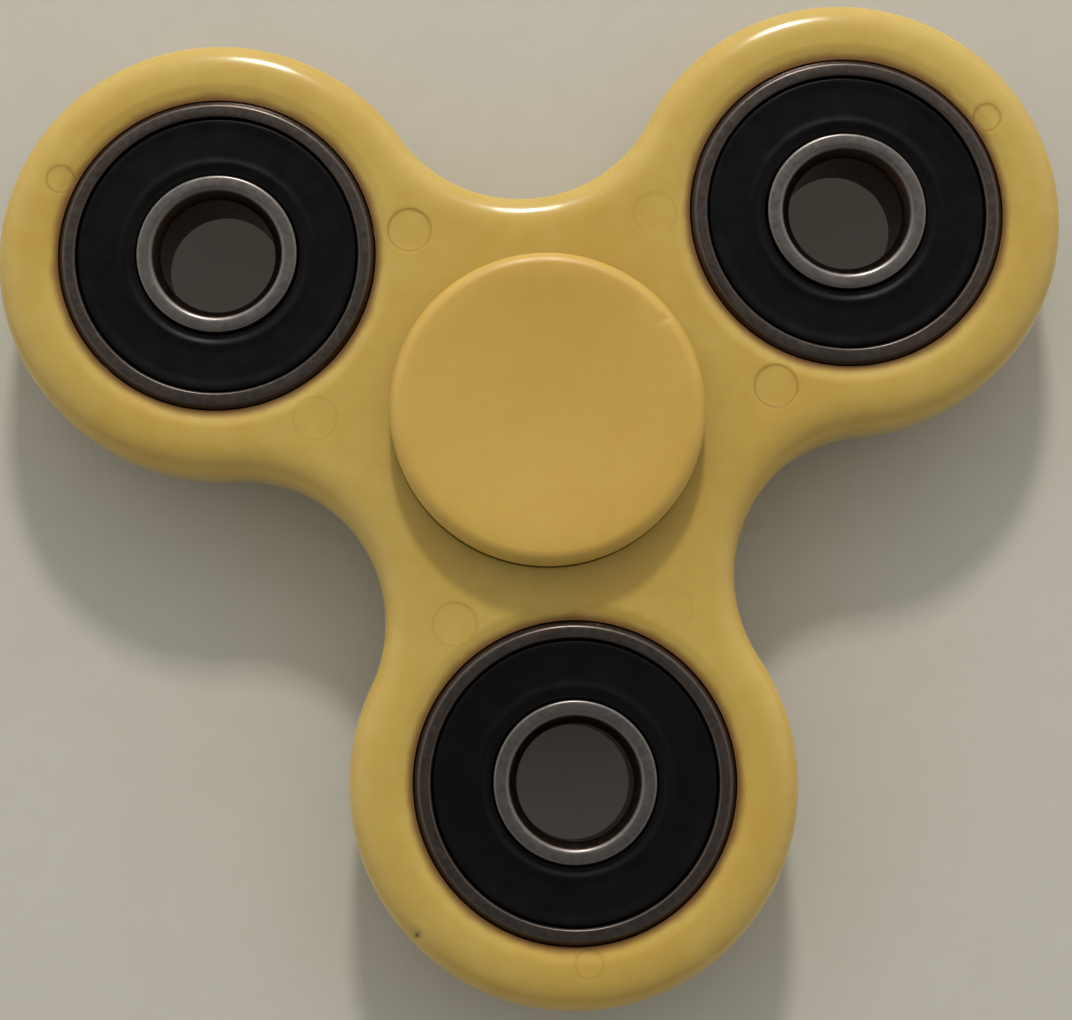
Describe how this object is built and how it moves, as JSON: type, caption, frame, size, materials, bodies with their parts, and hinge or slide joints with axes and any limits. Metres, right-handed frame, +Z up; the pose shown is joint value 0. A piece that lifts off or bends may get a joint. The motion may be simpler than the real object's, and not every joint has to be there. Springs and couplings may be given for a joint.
{
  "type": "fidget spinner",
  "caption": "Three-lobed hand spinner: moulded body with sealed ball bearings in its hub and lobes, and dished finger caps on the hub.",
  "frame": {"origin": "centre of the hub bearing, on the spin axis at mid-thickness", "axes": "+Z up along the spin axis; the front lobe points to -Y, the others to +30 and +150 degrees from +X"},
  "size_m": [0.0752, 0.0693, 0.012],
  "materials": {
    "body_plastic": "moulded yellow ABS, satin with a soft gloss",
    "cap_plastic": "moulded yellow ABS, slightly more matt",
    "ring_steel": "ground bearing steel, dulled",
    "seal_rubber": "black nitrile rubber",
    "ball_steel": "polished bearing steel",
    "cage_nylon": "natural nylon"
  },
  "bodies": {
    "holder": {"cap_top": "cap_plastic", "cap_bottom": "cap_plastic", "hub_inner_ring": "ring_steel"},
    "rotor": {"body": "body_plastic", "hub_outer_ring": "ring_steel", "hub_seal_top": "seal_rubber", "hub_seal_bottom": "seal_rubber", "front_outer_ring": "ring_steel", "front_seal_top": "seal_rubber", "front_seal_bottom": "seal_rubber", "right_outer_ring": "ring_steel", "right_seal_top": "seal_rubber", "right_seal_bottom": "seal_rubber", "left_outer_ring": "ring_steel", "left_seal_top": "seal_rubber", "left_seal_bottom": "seal_rubber"},
    "hub_cage": {"hub_cage": "cage_nylon", "hub_ball_1": "ball_steel", "hub_ball_2": "ball_steel", "hub_ball_3": "ball_steel", "hub_ball_4": "ball_steel", "hub_ball_5": "ball_steel", "hub_ball_6": "ball_steel", "hub_ball_7": "ball_steel"},
    "front_ring": {"front_inner_ring": "ring_steel"},
    "front_cage": {"front_cage": "cage_nylon", "front_ball_1": "ball_steel", "front_ball_2": "ball_steel", "front_ball_3": "ball_steel", "front_ball_4": "ball_steel", "front_ball_5": "ball_steel", "front_ball_6": "ball_steel", "front_ball_7": "ball_steel"},
    "right_ring": {"right_inner_ring": "ring_steel"},
    "right_cage": {"right_cage": "cage_nylon", "right_ball_1": "ball_steel", "right_ball_2": "ball_steel", "right_ball_3": "ball_steel", "right_ball_4": "ball_steel", "right_ball_5": "ball_steel", "right_ball_6": "ball_steel", "right_ball_7": "ball_steel"},
    "left_ring": {"left_inner_ring": "ring_steel"},
    "left_cage": {"left_cage": "cage_nylon", "left_ball_1": "ball_steel", "left_ball_2": "ball_steel", "left_ball_3": "ball_steel", "left_ball_4": "ball_steel", "left_ball_5": "ball_steel", "left_ball_6": "ball_steel", "left_ball_7": "ball_steel"}
  },
  "joints": [
    {"name": "hub_spin", "type": "hinge", "parent": "holder", "child": "rotor", "pos_m": [0, 0, 0], "axis": [0, 0, 1], "continuous": true},
    {"name": "hub_cage_spin", "type": "hinge", "parent": "holder", "child": "hub_cage", "pos_m": [0, 0, 0], "axis": [0, 0, 1], "continuous": true},
    {"name": "front_ring_spin", "type": "hinge", "parent": "rotor", "child": "front_ring", "pos_m": [0, -0.02555, 0], "axis": [0, 0, 1], "continuous": true},
    {"name": "front_cage_spin", "type": "hinge", "parent": "rotor", "child": "front_cage", "pos_m": [0, -0.02555, 0], "axis": [0, 0, 1], "continuous": true},
    {"name": "right_ring_spin", "type": "hinge", "parent": "rotor", "child": "right_ring", "pos_m": [0.02213, 0.01277, 0], "axis": [0, 0, 1], "continuous": true},
    {"name": "right_cage_spin", "type": "hinge", "parent": "rotor", "child": "right_cage", "pos_m": [0.02213, 0.01277, 0], "axis": [0, 0, 1], "continuous": true},
    {"name": "left_ring_spin", "type": "hinge", "parent": "rotor", "child": "left_ring", "pos_m": [-0.02213, 0.01277, 0], "axis": [0, 0, 1], "continuous": true},
    {"name": "left_cage_spin", "type": "hinge", "parent": "rotor", "child": "left_cage", "pos_m": [-0.02213, 0.01277, 0], "axis": [0, 0, 1], "continuous": true}
  ],
  "couplings": [
    {"joint": "hub_cage_spin", "follows": "hub_spin", "ratio": 0.6323},
    {"joint": "front_cage_spin", "follows": "front_ring_spin", "ratio": 0.3677},
    {"joint": "right_cage_spin", "follows": "right_ring_spin", "ratio": 0.3677},
    {"joint": "left_cage_spin", "follows": "left_ring_spin", "ratio": 0.3677}
  ]
}
